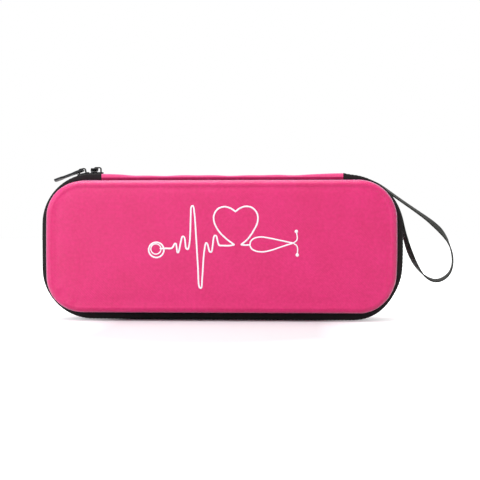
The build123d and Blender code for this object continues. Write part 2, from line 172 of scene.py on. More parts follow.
def sample(ring, places):
    """Points of a ring at fractional indices."""
    closed = np.concatenate([ring, ring[:1]])
    index = np.mod(places, RING)
    return joined(*(np.interp(index, np.arange(RING + 1), line) for line in closed.T))


def place_at(x, left=False):
    """Fractional index of the belt's upper edge where it has this x."""
    ring = belt(0)
    half = RING // 4
    if not left:
        return float(np.interp(x, ring[:half, 0], np.arange(half)))
    index = np.arange(RING - half, RING)
    return float(np.interp(x, ring[index, 0], index))


PLACE_RIGHT = place_at(SPINE_HALF)
PLACE_LEFT = place_at(-SPINE_HALF, left=True)
PLACE_END = place_at(END_X, left=True)
# slider A travels over the chain beyond this place
TRAVEL_Z = 71.0
left_side = np.arange(3 * RING // 4, RING)
PLACE_TRAVEL = float(np.interp(TRAVEL_Z, belt(0)[left_side, 1], left_side))
CHAIN_RIGHT = place_at(SPINE_HALF + STOP)
CHAIN_LEFT = place_at(-SPINE_HALF - STOP, left=True)


def even_places(start, end, pitch=1.6):
    """Fractional indices from start to end, pitch apart along the belt."""
    fine = np.linspace(start, end, 4000)
    run = run_along(sample(belt(0), fine))
    count = max(int(round(run[-1] / pitch)), 1)
    return np.interp(np.linspace(0, run[-1], count + 1), run, fine)


def new_object(name, points, faces, uv=None):
    """Mesh object from millimetre points; uv is one (u, v) in millimetres per vertex."""
    mesh = bpy.data.meshes.new(name)
    mesh.from_pydata([tuple(p) for p in np.asarray(points) * MM], [], faces)
    if uv is not None:
        layer = mesh.uv_layers.new(name="UVMap")
        loops = np.zeros(len(mesh.loops), int)
        mesh.loops.foreach_get("vertex_index", loops)
        layer.data.foreach_set("uv", (np.asarray(uv)[loops] * MM).astype(np.float32).ravel())
    mesh.polygons.foreach_set("use_smooth", [True] * len(mesh.polygons))
    obj = bpy.data.objects.new(name, mesh)
    bpy.context.scene.collection.objects.link(obj)
    return obj


def tidied(obj, merge=0.0, angle=None):
    """Outward normals, points within merge millimetres joined, edges over the angle sharp."""
    form = bmesh.new()
    form.from_mesh(obj.data)
    if merge:
        bmesh.ops.remove_doubles(form, verts=form.verts, dist=merge * MM)
    bmesh.ops.recalc_face_normals(form, faces=form.faces)
    form.normal_update()
    for edge in form.edges if angle else ():
        if len(edge.link_faces) == 2:
            edge.smooth = edge.calc_face_angle(0) < radians(angle)
    form.to_mesh(obj.data)
    form.free()
    return obj


def skin(rows, closed_across, closed_along):
    """Quads between consecutive rows of equal length."""
    count, size = len(rows), len(rows[0])
    faces = []
    for i in range(count if closed_across else count - 1):
        low, high = i * size, (i + 1) % count * size
        for j in range(size if closed_along else size - 1):
            k = (j + 1) % size
            faces.append((low + j, low + k, high + k, high + j))
    return faces


def sweep(name, rows, uv=None, angle=None, closed=False):
    """Closed surface over rows of equal length; the ends are capped unless the rows close."""
    faces = skin(rows, True, closed)
    if not closed:
        size = len(rows[0])
        faces.append(tuple(i * size for i in range(len(rows))))
        faces.append(tuple(i * size + size - 1 for i in reversed(range(len(rows)))))
    obj = new_object(name, np.concatenate(rows), faces, uv and np.concatenate(uv))
    return tidied(obj, angle=angle)


def circle(middle, across, third, sides):
    """Ring of points about a middle, in the plane of two given half axes."""
    angles = (2 * pi * j / sides for j in range(sides))
    return [middle + across * cos(angle) + third * sin(angle) for angle in angles]


def add_tube(points, faces, rings):
    """Adds a capped tube through rings of points to the lists of a mesh."""
    start, sides = len(points), len(rings[0])
    for ring in rings:
        points.extend(ring)
    for k in range(len(rings) - 1):
        for j in range(sides):
            a, b = start + k * sides + j, start + k * sides + (j + 1) % sides
            faces.append((a, b, b + sides, a + sides))
    faces.append(tuple(start + j for j in reversed(range(sides))))
    faces.append(tuple(len(points) - sides + j for j in range(sides)))


def rounded(points, radius, steps=4):
    """Closed polygon with its corners rounded."""
    points = [np.array(p, float) for p in points]
    result = []
    for before, here, after in zip(points[-1:] + points[:-1], points, points[1:] + points[:1]):
        to_before, to_after = before - here, after - here
        reach = min(radius, np.linalg.norm(to_before) / 2.2, np.linalg.norm(to_after) / 2.2)
        first = here + to_before / np.linalg.norm(to_before) * reach
        last = here + to_after / np.linalg.norm(to_after) * reach
        for t in np.linspace(0, 1, steps):
            result.append((1 - t) ** 2 * first + 2 * t * (1 - t) * here + t**2 * last)
    return result


def band(name, section, shape, side, places=None):
    """Sweep of a closed section of (inset, distance from the seam) round the case.

    places None runs all the way round; otherwise the ends are capped.
    """
    whole = places is None
    at = np.arange(RING, dtype=float) if whole else np.asarray(places)
    along = run_along(sample(shape(0), at))
    rows, uv = [], []
    for (inset, distance), across in zip(section, run_along(section)):
        ring = sample(shape(inset), at)
        rows.append(joined(ring[:, 0], side * distance, ring[:, 1]))
        uv.append(joined(along, across))
    return sweep(name, rows, uv, 40, whole)


def merged(name, objects):
    """One object from several, which are removed."""
    target = objects[0]
    with bpy.context.temp_override(
        active_object=target, object=target,
        selected_objects=objects, selected_editable_objects=objects,
    ):
        bpy.ops.object.join()
    target.name = name
    target.data.name = name
    return target


def box(left, right, low, high, corner=0.2, steps=3):
    """Rectangular section with rounded corners."""
    return rounded([(left, low), (left, high), (right, high), (right, low)], corner, steps)


def give(obj, material, body=None, replaced=()):
    """Material, body and replaced nodes of a piece in one call."""
    obj.data.materials.clear()
    obj.data.materials.append(material)
    if replaced:
        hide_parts(*replaced)
    if body:
        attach(obj, body)
    return obj


# ---- materials -------------------------------------------
def linear(rgb):
    """Linear colour from 0-255 screen values."""
    share = [c / 255 for c in rgb]
    return [c / 12.92 if c <= 0.04045 else ((c + 0.055) / 1.055) ** 2.4 for c in share] + [1.0]


class Graph:
    """Small helper that writes shader nodes as expressions."""

    def __init__(self, name=None, tree=None):
        if tree is None:
            self.material = bpy.data.materials.new(name)
            self.material.use_nodes = True
            tree = self.material.node_tree
            self.shader = tree.nodes["Principled BSDF"]
        self.tree = tree

    def add(self, kind, **values):
        node = self.tree.nodes.new(kind)
        for key, value in values.items():
            setattr(node, key, value)
        return node

    def feed(self, socket, value):
        if isinstance(value, bpy.types.NodeSocket):
            self.tree.links.new(value, socket)
        else:
            socket.default_value = value

    def math(self, operation, a, b=None):
        node = self.add("ShaderNodeMath", operation=operation)
        for socket, value in zip(node.inputs, (a, b)):
            if value is not None:
                self.feed(socket, value)
        return node.outputs[0]

    def mix(self, share, first, second):
        node = self.add("ShaderNodeMix", data_type="RGBA")
        self.feed(node.inputs["Factor"], share)
        self.feed(node.inputs["A"], first)
        self.feed(node.inputs["B"], second)
        return node.outputs["Result"]

    def coordinates(self, source="Object"):
        return self.add("ShaderNodeTexCoord").outputs[source]

    def split(self, vector):
        node = self.add("ShaderNodeSeparateXYZ")
        self.feed(node.inputs[0], vector)
        return node.outputs

    def noise(self, vector, per_metre, detail=2.0, roughness=0.5):
        node = self.add("ShaderNodeTexNoise")
        self.feed(node.inputs["Vector"], vector)
        for key, number in (("Scale", per_metre), ("Detail", detail), ("Roughness", roughness)):
            node.inputs[key].default_value = number
        return node.outputs["Fac"]

    def wave(self, value, pitch):
        """Sine of a coordinate in metres, one period each pitch millimetres."""
        return self.math("SINE", self.math("MULTIPLY", value, 2 * pi / (pitch * MM)))

    def ramp(self, value, low, high, to_low=0.0, to_high=1.0, kind="LINEAR"):
        node = self.add("ShaderNodeMapRange", interpolation_type=kind)
        self.feed(node.inputs["Value"], value)
        for key, number in (
            ("From Min", low), ("From Max", high), ("To Min", to_low), ("To Max", to_high)
        ):
            node.inputs[key].default_value = number
        return node.outputs["Result"]

    def bump(self, height, depth, strength=1.0):
        """Surface relief, its depth in millimetres."""
        node = self.add("ShaderNodeBump")
        node.inputs["Strength"].default_value = strength
        node.inputs["Distance"].default_value = depth * MM
        self.feed(node.inputs["Height"], height)
        self.feed(self.shader.inputs["Normal"], node.outputs["Normal"])

    def finish(self, colour, roughness, **constants):
        self.feed(self.shader.inputs["Base Color"], colour)
        self.feed(self.shader.inputs["Roughness"], roughness)
        for key, value in constants.items():
            self.shader.inputs[key.replace("_", " ")].default_value = value
        return self.material


def cloth(name, dark, light, pitch, depth, roughness, twill, sheen, spread=0.5,
          sheen_tint=(1, 1, 1, 1), specular=0.3):
    """Woven fabric: raised crossing threads, colour that follows them and slow unevenness."""
    g = Graph(name)
    place = g.coordinates("UV")
    across, up = g.split(place)[:2]
    weave = g.math("MULTIPLY", g.wave(across, pitch), g.wave(up, pitch))
    slant = g.wave(g.math("ADD", across, up), pitch * 1.5)
    weave = g.math("ADD", weave, g.math("MULTIPLY", slant, twill))
    fibre = g.noise(place, 2600, 3.0)
    slow = g.noise(place, 34, 3.0, 0.6)
    mottle = g.noise(place, 420, 2.0, 0.6)
    height = g.math("ADD", weave, g.math("MULTIPLY", fibre, 0.9))
    tone = g.ramp(weave, -1.2, 1.2, 0.5 - spread / 2, 0.5 + spread / 2)
    tone = g.math("ADD", tone, g.ramp(slow, 0.25, 0.75, -0.16, 0.16))
    tone = g.math("ADD", tone, g.ramp(mottle, 0.3, 0.7, -0.17, 0.17))
    tone = g.math("ADD", tone, g.ramp(fibre, 0.3, 0.7, -0.1, 0.1))
    g.bump(height, depth)
    return g.finish(
        g.mix(tone, linear(dark), linear(light)),
        g.ramp(weave, -1, 1, min(roughness + 0.12, 1), roughness),
        Sheen_Weight=sheen, Sheen_Roughness=0.45, Sheen_Tint=sheen_tint,
        Specular_IOR_Level=specular,
    )


def ribbed(name, dark, light, pitch, depth, roughness, sheen):
    """Grosgrain or knitted elastic: ribs across one UV direction, fine threads over them."""
    g = Graph(name)
    place = g.coordinates("UV")
    along, across = g.split(place)[:2]
    ribs = g.math("ABSOLUTE", g.wave(along, pitch * 2))
    threads = g.math("MULTIPLY", g.wave(across, pitch * 0.7), 0.35)
    fibre = g.noise(place, 3000, 2.0)
    height = g.math("ADD", g.math("ADD", ribs, threads), g.math("MULTIPLY", fibre, 0.5))
    tone = g.math("ADD", g.ramp(ribs, 0, 1, 0.1, 0.75), g.ramp(fibre, 0.3, 0.7, -0.15, 0.15))
    g.bump(height, depth)
    return g.finish(
        g.mix(tone, linear(dark), linear(light)), roughness,
        Sheen_Weight=sheen, Sheen_Roughness=0.4, Specular_IOR_Level=0.2,
    )


def enamel(name, colour, edge, roughness):
    """Glossy black paint over cast metal, rubbed lighter along edges."""
    g = Graph(name)
    place = g.coordinates()
    peel = g.noise(place, 900, 2.0)
    scuff = g.noise(place, 420, 4.0, 0.7)
    point = g.add("ShaderNodeNewGeometry").outputs["Pointiness"]
    worn = g.math("MULTIPLY", g.ramp(point, 0.52, 0.62), g.ramp(scuff, 0.35, 0.7))
    g.bump(peel, 0.02, 0.6)
    return g.finish(
        g.mix(worn, linear(colour), linear(edge)),
        g.ramp(scuff, 0.3, 0.75, roughness, roughness + 0.18),
        Coat_Weight=0.06, Coat_Roughness=0.15, Specular_IOR_Level=0.2,
    )


def plastic(name, colour, light, roughness, scale, depth, specular):
    """Plain moulded surface with a fine grain."""
    g = Graph(name)
    place = g.coordinates()
    grain = g.noise(place, scale, 3.0)
    g.bump(grain, depth)
    return g.finish(
        g.mix(g.ramp(grain, 0.3, 0.7, 0.0, 0.8), linear(colour), linear(light)),
        g.ramp(grain, 0.3, 0.7, roughness, roughness + 0.12),
        Specular_IOR_Level=specular,
    )


PINK_TINT = (0.75, 0.72, 1.0, 1)
pink = cloth("pink_weave", (205, 1, 87), (238, 31, 124), 1.3, 0.045, 0.3, 0.06, 0.5,
             sheen_tint=PINK_TINT, specular=0.5)
pink_edging = cloth("pink_edging", (220, 58, 122), (242, 102, 156), 1.1, 0.05, 0.5, 0.05, 0.5,
                    sheen_tint=PINK_TINT)
# painted shade: dark crimson cloth that darkens the crease at the foot of the spine
crease_shade = cloth("crimson_crease_shade", (126, 12, 62), (176, 26, 92), 0.9, 0.05, 0.6, 0.05, 0.05,
                specular=0.2)
lining = cloth("black_tricot", (14, 13, 14), (42, 40, 42), 1.6, 0.09, 0.75, 0.3, 0.3, spread=0.6,
               specular=0.15)
foam = plastic("eva_foam", (20, 20, 21), (34, 33, 34), 0.75, 2200, 0.1, 0.2)
binding = cloth("black_binding", (8, 6, 7), (26, 21, 22), 0.8, 0.05, 0.55, 0.2, 0.02, spread=0.4,
                specular=0.2)
tape = ribbed("black_tape", (8, 7, 8), (28, 25, 25), 0.85, 0.08, 0.6, 0.02)
coil_plastic = plastic("black_coil", (14, 13, 13), (30, 28, 28), 0.3, 900, 0.01, 0.5)
metal = enamel("black_enamel", (3, 3, 4), (46, 46, 48), 0.34)
ribbon = ribbed("black_ribbon", (22, 23, 20), (48, 49, 44), 0.5, 0.05, 0.55, 0.02)
elastic = ribbed("black_elastic", (22, 22, 24), (74, 73, 77), 0.9, 0.14, 0.55, 0.12)
pink_thread = ribbed("pink_thread", (190, 40, 100), (226, 84, 138), 0.25, 0.03, 0.5, 0.1)
thread = ribbed("black_thread", (24, 22, 24), (72, 68, 70), 0.25, 0.03, 0.4, 0.12)
net = plastic("black_net", (34, 34, 36), (74, 73, 76), 0.45, 1800, 0.03, 0.4)
ink = plastic("white_ink", (255, 247, 252), (255, 253, 255), 0.45, 900, 0.03, 0.4)


# ---- camera ----------------------------------------------
AIM = Vector((14.0, 0, 63.0)) * MM
DISTANCE = 990 * MM
YAW, RISE = radians(3.6), radians(0.6)
camera = bpy.data.objects.new("camera", bpy.data.cameras.new("camera"))
bpy.context.scene.collection.objects.link(camera)
camera.data.lens = 92.9
camera.data.sensor_width = 36
camera.data.clip_end = 50
toward = Vector((sin(YAW) * cos(RISE), -cos(YAW) * cos(RISE), sin(RISE)))
camera.location = AIM + DISTANCE * toward
camera.rotation_euler = (AIM - camera.location).to_track_quat("-Z", "Y").to_euler()
bpy.context.scene.camera = camera


# ---- wrist strap -----------------------------------------
STRAP_Y, STRAP_WIDE, STRAP_THICK = 7.6, 8.0, 1.1
STRAP_ROUTE = [
    (117.4, 110.5), (121.4, 109.0), (126.6, 106.0), (139.8, 96.3), (152.6, 87.4), (165.2, 78.5),
    (176.0, 68.5), (182.3, 56.2), (183.8, 44.2), (180.4, 35.0), (171.5, 29.7), (162.4, 32.6),
    (155.0, 41.4), (150.0, 51.6), (146.5, 62.0), (144.2, 72.0), (142.6, 81.2), (139.6, 90.0),
    (134.6, 98.4), (128.2, 104.7),
]
# turn of the ribbon about its own line, degrees, at shares of its length
STRAP_TURN = [
    (0, 8), (0.06, 14), (0.2, 15), (0.27, 21), (0.315, 32), (0.35, 27), (0.38, 9), (0.43, 2),
    (0.48, 3), (0.53, -10), (0.575, -15), (0.61, -9), (0.66, 12), (0.70, 23), (0.755, 24),
    (0.81, 13), (0.87, 6), (0.93, 2), (1, 0),
]


def strap_line():
    """Points in millimetres along a smooth NURBS line over the strap's control points."""
    data = bpy.data.curves.new("route", "CURVE")
    data.dimensions = "3D"
    data.resolution_u = 12
    spline = data.splines.new("NURBS")
    spline.points.add(len(STRAP_ROUTE) - 1)
    for point, (x, z) in zip(spline.points, STRAP_ROUTE):
        point.co = (x * MM, STRAP_Y * MM, z * MM, 1)
    spline.order_u = 3
    spline.use_endpoint_u = True
    holder = bpy.data.objects.new("route", data)
    bpy.context.scene.collection.objects.link(holder)
    mesh = bpy.data.meshes.new_from_object(holder)
    line = np.array([v.co for v in mesh.vertices]) / MM
    bpy.data.objects.remove(holder)
    bpy.data.meshes.remove(mesh)
    return line


def make_strap():
    """Ribbon loop; returns its middle line, its width and its thickness directions."""
    line = strap_line()
    run = run_along(line)
    turn = np.interp(run / run[-1], *zip(*STRAP_TURN))
    turn = np.radians(np.convolve(np.pad(turn, 6, mode="edge"), np.ones(13) / 13, "valid"))
    tangent = np.gradient(line, axis=0)
    tangent /= np.linalg.norm(tangent, axis=1)[:, None]
    side = np.array([0.0, 1.0, 0.0])
    wide = np.cos(turn)[:, None] * side + np.sin(turn)[:, None] * np.cross(tangent, side)
    thick = np.cross(tangent, wide)
    a, b = STRAP_WIDE / 2, STRAP_THICK / 2
    rows, uv = [], []
    for u, v in rounded([(-a, -b), (a, -b), (a, b), (-a, b)], 0.4, 3):
        rows.append(line + wide * u + thick * v)
        uv.append(joined(run, u))
    obj = sweep("strap_ribbon", rows, uv, 50)
    give(obj, ribbon, "base", ["wrist_strap"])
    return line, wide, thick


STRAP_LINES = make_strap()
STITCH_PROFILE = [(0.0, 0.35), (0.12, 0.8), (0.3, 1.0), (0.7, 1.0), (0.88, 0.8), (1.0, 0.35)]


def capsules(name, starts, ends, radius):
    """Short round-ended stitches between pairs of points, as one mesh."""
    points, faces = [], []
    for first, last in zip(np.asarray(starts, float), np.asarray(ends, float)):
        heading = last - first
        unit = heading / np.linalg.norm(heading)
        across = np.cross(unit, (0.0, 0.0, 1.0) if abs(unit[2]) < 0.9 else (1.0, 0.0, 0.0))
        across *= radius / np.linalg.norm(across)
        third = np.cross(unit, across)
        add_tube(points, faces, [
            circle(first + heading * share, across * size, third * size, 6)
            for share, size in STITCH_PROFILE
        ])
    return tidied(new_object(name, points, faces))


def make_tack():
    """Bar tacks: dense thread across both ends of the ribbon where they meet the belt."""
    starts, ends = [], []
    count, reach = 15, 3.5
    for share, inward in ((0.012, 1), (0.988, -1)):
        for k in range(count):
            place = share + 0.0012 * (k % 2) * inward
            index = int(round(place * (len(STRAP_LINES[0]) - 1)))
            middle, wide, thick = (part[index] for part in STRAP_LINES)
            off = reach * (2 * k / (count - 1) - 1)
            starts.append(middle + wide * (off - 0.25) + thick * 0.62)
            ends.append(middle + wide * (off + 0.25) + thick * 0.62
                        + np.cross(wide, thick) * 0.9)
    tack = capsules("strap_bar_tack", starts, ends, 0.16)
    give(tack, thread, "base", ["strap_tack"])


make_tack()


# ---- covers and linings ----------------------------------
CENTRE_ROWS = 9


def centre_rows(ring):
    """Rings from a ring to the case's middle line; the last one collapses on it."""
    target = joined(np.clip(ring[:, 0], -SPINE_HALF + 6, SPINE_HALF - 6), MID_Z)
    shares = np.arange(1, CENTRE_ROWS + 1) / CENTRE_ROWS
    return [ring * (1 - share) + target * share for share in shares]


def pan(side, profile, flat_height, ripple=None):
    """One surface of a tray as rows of points, from its rim to its middle line."""
    rows = [(tray(inset), distance, inset) for inset, distance in profile]
    rows += [(ring, flat_height, None) for ring in centre_rows(rows[-1][0])]
    depth = run_along(profile)
    points, uv = [], []
    for k, (ring, height, inset) in enumerate(rows):
        y = height + ripple(ring, inset) if ripple else height
        points.append(joined(ring[:, 0], side * y, ring[:, 1]))
        if inset is None:
            uv.append(ring)
        else:
            uv.append(tray(profile[-1][0] - depth[-1] + depth[k]))
    return points, uv


def shell_piece(name, side, profile, hidden, flat, hidden_flat, ripple=None):
    """Closed sheet between a shown surface and a hidden one, joined at the rim."""
    shown_rows, shown_uv = pan(side, profile, flat, ripple)
    back_rows, back_uv = pan(side, hidden, hidden_flat)
    rows = shown_rows[::-1] + back_rows
    uv = shown_uv[::-1] + back_uv
    obj = new_object(name, np.concatenate(rows), skin(rows, False, True), np.concatenate(uv))
    return tidied(obj, 0.001, 50)


def face_relief(ring, inset):
    """Uneven depth of the pressed groove, and small puckers of the cloth at the corners."""
    x, z = ring[:, 0], ring[:, 1] - MID_Z
    if inset is None:
        return np.zeros(len(ring))
    ends = np.clip((np.abs(x) - 108) / 24, 0, 1) * np.where(x < 0, 1.0, 0.6)
    shallow = np.maximum(np.clip((24 - z) / 50, 0, 1), ends)
    groove = 0.72 * shallow * bell(inset, 6.7, 2.1)
    corner = np.clip((np.abs(x) - SPINE_HALF - 2) / 18, 0, 1)
    corner = corner * np.clip((np.abs(z) - 8) / 20, 0, 1)
    angle = np.arctan2(np.abs(z) - 22, np.abs(x) - SPINE_HALF - 6)
    fade = bell(inset, 8.2, 3.2)
    phase = np.where(x < 0, 0.4, 2.1) + np.where(z < 0, 1.3, 0.0)
    puckers = 0.13 * np.sin(13 * angle + phase + 0.12 * inset) + 0.07 * np.sin(23 * angle - phase)
    return groove + corner * fade * puckers


FACE_ARC = arc((1.1 + 3.5, 27.25 - 3.5), 3.5, pi, pi / 2, 11)
COVER_PROFILE = [
    (0.0, 8.75), (0.15, 10.5), (0.35, 13.5), (0.6, 17.0), (0.85, 20.5), (1.02, 22.8),
    *[tuple(p) for p in FACE_ARC],
    (5.3, 27.1), (5.9, 26.85), (6.6, 26.72), (7.4, 26.78), (8.4, 27.0), (9.8, 27.22),
    (12.0, 27.38), (15.0, 27.47), (19.0, 27.5), (24.0, 27.5), (28.0, 27.5),
]
COVER_HIDDEN = [(0.8, 8.75), (1.3, 16.0), (1.8, 22.5), (3.4, 25.4), (6.0, 26.2), (10.0, 26.6),
                (28.0, 26.72)]
for side, half, body in HALVES:
    cover = shell_piece(f"{half}_cover_weave", side, COVER_PROFILE, COVER_HIDDEN, 27.5, 26.72,
                        face_relief)
    give(cover, pink, body, [f"{half}_cover"])

FLOOR_ARC = arc((5.75 + 3.0, FLOOR_Y - 3.0), 3.0, pi, pi / 2, 8)
LINING_PROFILE = [
    (4.4, 6.0), (4.6, 9.0), (5.0, 13.0), (5.5, 18.0), (5.73, 20.0),
    *[tuple(p) for p in FLOOR_ARC], (12.0, FLOOR_Y), (18.0, FLOOR_Y), (26.0, FLOOR_Y),
]
LINING_HIDDEN = [(3.85, 6.0), (4.3, 12.0), (4.9, 19.0), (5.6, 22.4), (8.0, 23.6), (26.0, 23.68)]
for side, half, body in HALVES:
    inner = shell_piece(f"{half}_lining_tricot", side, LINING_PROFILE, LINING_HIDDEN,
                        FLOOR_Y, 23.68)
    give(inner, lining, body, [f"{half}_lining"])


# ---- belt: bindings, tapes and chain ---------------------
def between(outer, inner):
    """Outline at a share of the way from one ring to another."""
    return lambda share: outer * (1 - share) + inner * share


FLANGE_DIP = 1.9


def dipped(ring):
    """Outline lowered under the spine, so that the cloth can sag over the hinge."""
    lower = ring.copy()
    top = (np.abs(ring[:, 0]) < SPINE_HALF + 0.01) & (ring[:, 1] > MID_Z)
    lower[top, 1] -= FLANGE_DIP * np.clip((SPINE_HALF - np.abs(ring[top, 0])) / 6, 0, 1)
    return lower


def tapes(name, side, strips):
    """One piece from strips round the belt, each a section and the places of its ends."""
    return merged(name, [
        band("strip", section, belt, side, even_places(start, end))
        for section, start, end in strips
    ])


EDGE_SECTION = rounded([(0, 8.62), (0, 9.3), (0.55, 9.45), (1, 9.2), (1, 8.62)], 0.35, 5)
RIM_SECTION = rounded([(0, 5.5), (0, 6), (1, 6.0), (1.06, 5.75), (1, 5.45)], 0.25, 4)
TAPE_FLAT, TAPE_EDGE = box(0, 0.7, 3.2, 8.6), box(0, 0.7, 6.0, 8.6)
TAPE_FOLD = box(1.95, 2.4, 0.5, 3.4, 0.15)
WALL_OUTSIDE = [
    (0.85, 8.5), (1.35, 16.0), (1.85, 22.4), (3.45, 25.3), (6.0, 26.1), (10.0, 26.5), (28.0, 26.6),
]
WALL_INSIDE = [(3.8, 8.5), (4.25, 13.0), (4.8, 20.0), (5.5, 22.9), (8.0, 23.7), (28.0, 23.75)]
for side, half, body in HALVES:
    edge = band(f"{half}_edge_piping", EDGE_SECTION, between(belt(0.3), tray(0.45)), side,
                even_places(PLACE_RIGHT, PLACE_LEFT))
    give(edge, binding, body, [f"{half}_edge_binding"])

    rim = band(f"{half}_rim_fold", RIM_SECTION, between(dipped(belt(0.7)), tray(4.3)), side)
    give(rim, binding, body, [f"{half}_rim_binding"])

    wall = shell_piece("wall", side, WALL_OUTSIDE, WALL_INSIDE, 26.6, 23.75)
    flange = band("flange", box(0, 1, 6.02, 8.58, 0.08), between(dipped(belt(0.72)), tray(3.75)),
                  side)
    give(merged(f"{half}_foam_tray", [wall, flange]), foam, body, [f"{half}_shell"])

    strips = [(TAPE_FLAT, PLACE_RIGHT, PLACE_LEFT), (TAPE_FOLD, CHAIN_RIGHT, CHAIN_LEFT)]
    if side == FRONT:
        strips = [
            (TAPE_FLAT, PLACE_RIGHT, PLACE_END), (TAPE_EDGE, PLACE_END, PLACE_LEFT),
            (TAPE_FOLD, CHAIN_RIGHT, PLACE_END),
        ]
    give(tapes(f"{half}_tape_twill", side, strips), tape, body,
         [f"{half}_zipper_tape"])

# a coil turn: distances from the seam when meshed and parted, depths under the belt's face,
# shifts along the chain and radii
MESHED = (3.25, 1.2, 0.0, -0.42, 0.0, 1.2, 3.25)
PARTED = (3.25, 1.7, 0.86, 0.64, 0.86, 1.7, 3.25)
TURN_DEPTHS = (2.05, 1.95, 1.8, 1.3, 0.62, 0.5, 0.55)
TURN_SHIFTS = (0.35, 0.2, 0.0, 0.0, 0.0, -0.2, -0.35)
TURN_RADII = (0.26, 0.28, 0.33, 0.33, 0.33, 0.29, 0.27)


def chain_turns(name, side, places, head_shift):
    """Coil of one side of the chain: a loop of monofilament at each place."""
    spots = sample(belt(0), places)
    ahead = sample(belt(0), places + 0.02) - sample(belt(0), places - 0.02)
    ahead /= np.linalg.norm(ahead, axis=1)[:, None]
    points, faces = [], []
    for (x, z), (run_x, run_z), place in zip(spots, ahead, places):
        run, inward = np.array([run_x, 0, run_z]), np.array([run_z, 0, -run_x])
        distances = PARTED if place > PLACE_TRAVEL else MESHED
        centre = [
            np.array([x, side * y, z]) + inward * deep + run * (shift + head_shift)
            for y, deep, shift in zip(distances, TURN_DEPTHS, TURN_SHIFTS)
        ]
        rings = []
        for k, (middle, radius) in enumerate(zip(centre, TURN_RADII)):
            heading = centre[min(k + 1, 6)] - centre[max(k - 1, 0)]
            heading /= np.linalg.norm(heading)
            across = run - heading * run.dot(heading)
            across *= radius / np.linalg.norm(across)
            rings.append(circle(middle, across, np.cross(heading, across), 7))
        add_tube(points, faces, rings)
    return tidied(new_object(name, points, faces))


# flap behind the chain, sewn to the rear tray's rim, that keeps dust out
guard = band("chain_guard", box(4.25, 4.55, 5.55, -1.3, 0.12), belt, REAR,
             even_places(CHAIN_RIGHT + 4, CHAIN_LEFT - 1))
give(guard, tape, "base")

PITCH = 1.45
for (side, half, body), end in zip(HALVES, (PLACE_END, CHAIN_LEFT)):
    turns = chain_turns(f"{half}_coil_turns", side,
                        even_places(CHAIN_RIGHT + 0.1, end - 0.1, PITCH), side * PITCH / 4)
    give(turns, coil_plastic, body, [f"{half}_zipper_coil"])

# the fixed end of the zipper, beside the hinge
fixed = tapes("zipper_end_tape", FRONT, [
    (box(0, 0.7, 3.2, 5.8), PLACE_END + 0.1, PLACE_LEFT),
    (TAPE_FOLD, PLACE_END + 0.1, CHAIN_LEFT),
])
give(fixed, tape, "base", ["zipper_end_section"])
give(
    chain_turns("zipper_end_turns", FRONT,
                even_places(PLACE_END + 0.3, CHAIN_LEFT - 0.1, PITCH), -PITCH / 4),
    coil_plastic, "base",
)


# ---- spine and hinge liner -------------------------------
SPINE_SAG = 1.35


def spine_height(x):
    """How far the spine's top lies under the belt's top, along its length."""
    end = np.clip((SPINE_HALF - np.abs(x) - 3) / np.where(x < 0, 26, 44), 0, 1)
    slack = 0.22 * np.sin(x / 9.5 + 0.6) + 0.14 * np.sin(x / 4.1)
    return 0.25 + (SPINE_SAG + slack) * end * end * (3 - 2 * end)


def make_spine():
    """Cloth over the hinge with its padded edgings, from one tray's top edge to the other's."""
    xs = np.linspace(-SPINE_HALF, SPINE_HALF, 127)
    profile = [(y, 0.0) for y in np.linspace(0, 8.0, 25)]
    profile += [tuple(p) for p in arc((8.2, -1.15), 1.15, pi / 2, 0.1, 6)]
    profile += [(9.42, -2.2), (9.45, -3.2), (9.3, -4.1), (8.95, -4.8), (8.66, -5.15)]
    inner = [(8.6, -5.0), (8.6, -2.4), (8.0, -0.7), (5.6, -0.7)]
    inner += [(y, -0.7) for y in np.linspace(4.8, 0, 13)]
    section = [(-y, z) for y, z in profile[::-1]] + profile[1:]
    section += inner + [(-y, z) for y, z in inner[::-1][1:]]
    rows, uv = [], []
    for (y, drop), across in zip(section, run_along(section)):
        fall = spine_height(xs) * np.clip(1 - max(-drop - 0.8, 0) / 2.5, 0, 1)
        rows.append(joined(xs, y, HEIGHT + drop - fall))
        uv.append(joined(xs, across))
    obj = sweep("spine_cloth", rows, uv, 55)
    give(obj, pink_edging, None, ["front_spine", "rear_spine"])
    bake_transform(obj)


make_spine()

# dark crimson strips along the foot of the spine on both halves: painted shade of the crease where
# the spine cloth meets the tray's top
for side, half, body in HALVES:
    seam = band(
        f"{half}_spine_crease_shade",
        rounded([(5.05, 9.3), (5.05, 9.8), (3.2, 9.75), (3.2, 9.3)], 0.22, 3),
        lambda inset: belt(0) - (0, inset), side,
        np.linspace(PLACE_LEFT - RING, PLACE_RIGHT, 120),
    )
    give(seam, crease_shade, body)


def make_liner():
    """Soft sheet under the spine; its long edges lie under the edgings of both trays."""
    xs = np.linspace(-SPINE_HALF, SPINE_HALF, 95)
    ys = np.linspace(-7.7, 7.7, 61)
    top = HEIGHT - 1.0 - spine_height(xs)
    rows = [joined(xs, y, top) for y in ys] + [joined(xs, y, top - 0.45) for y in ys[::-1]]
    obj = sweep("hinge_liner_cloth", rows)
    give(obj, binding, None, ["front_hinge_liner", "rear_hinge_liner"])
    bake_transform(obj)


make_liner()


# ---- metal: sliders, bridges and stops keep their solids, with softened edges
def soften_edges(node, swell=0.0):
    """Weld, slightly swell and round a carried-over solid with modifiers."""
    weld = node.modifiers.new("weld", "WELD")
    weld.merge_threshold = 0.002 * MM
    if swell:
        grow = node.modifiers.new("swell", "DISPLACE")
        grow.mid_level = 0.0
        grow.strength = swell * MM
    bevel = node.modifiers.new("edges", "BEVEL")
    bevel.width = 0.22 * MM
    bevel.segments = 3
    bevel.angle_limit = radians(35)


for name, swell in (
    ("slider_a_body", 0), ("slider_a_bridge", 0.14), ("slider_b_body", 0),
    ("slider_b_bridge", 0.14), ("slider_b_pull", 0.2), ("end_stop_left", 0), ("end_stop_right", 0)
):
    soften_edges(give(nodes[name], metal), swell)


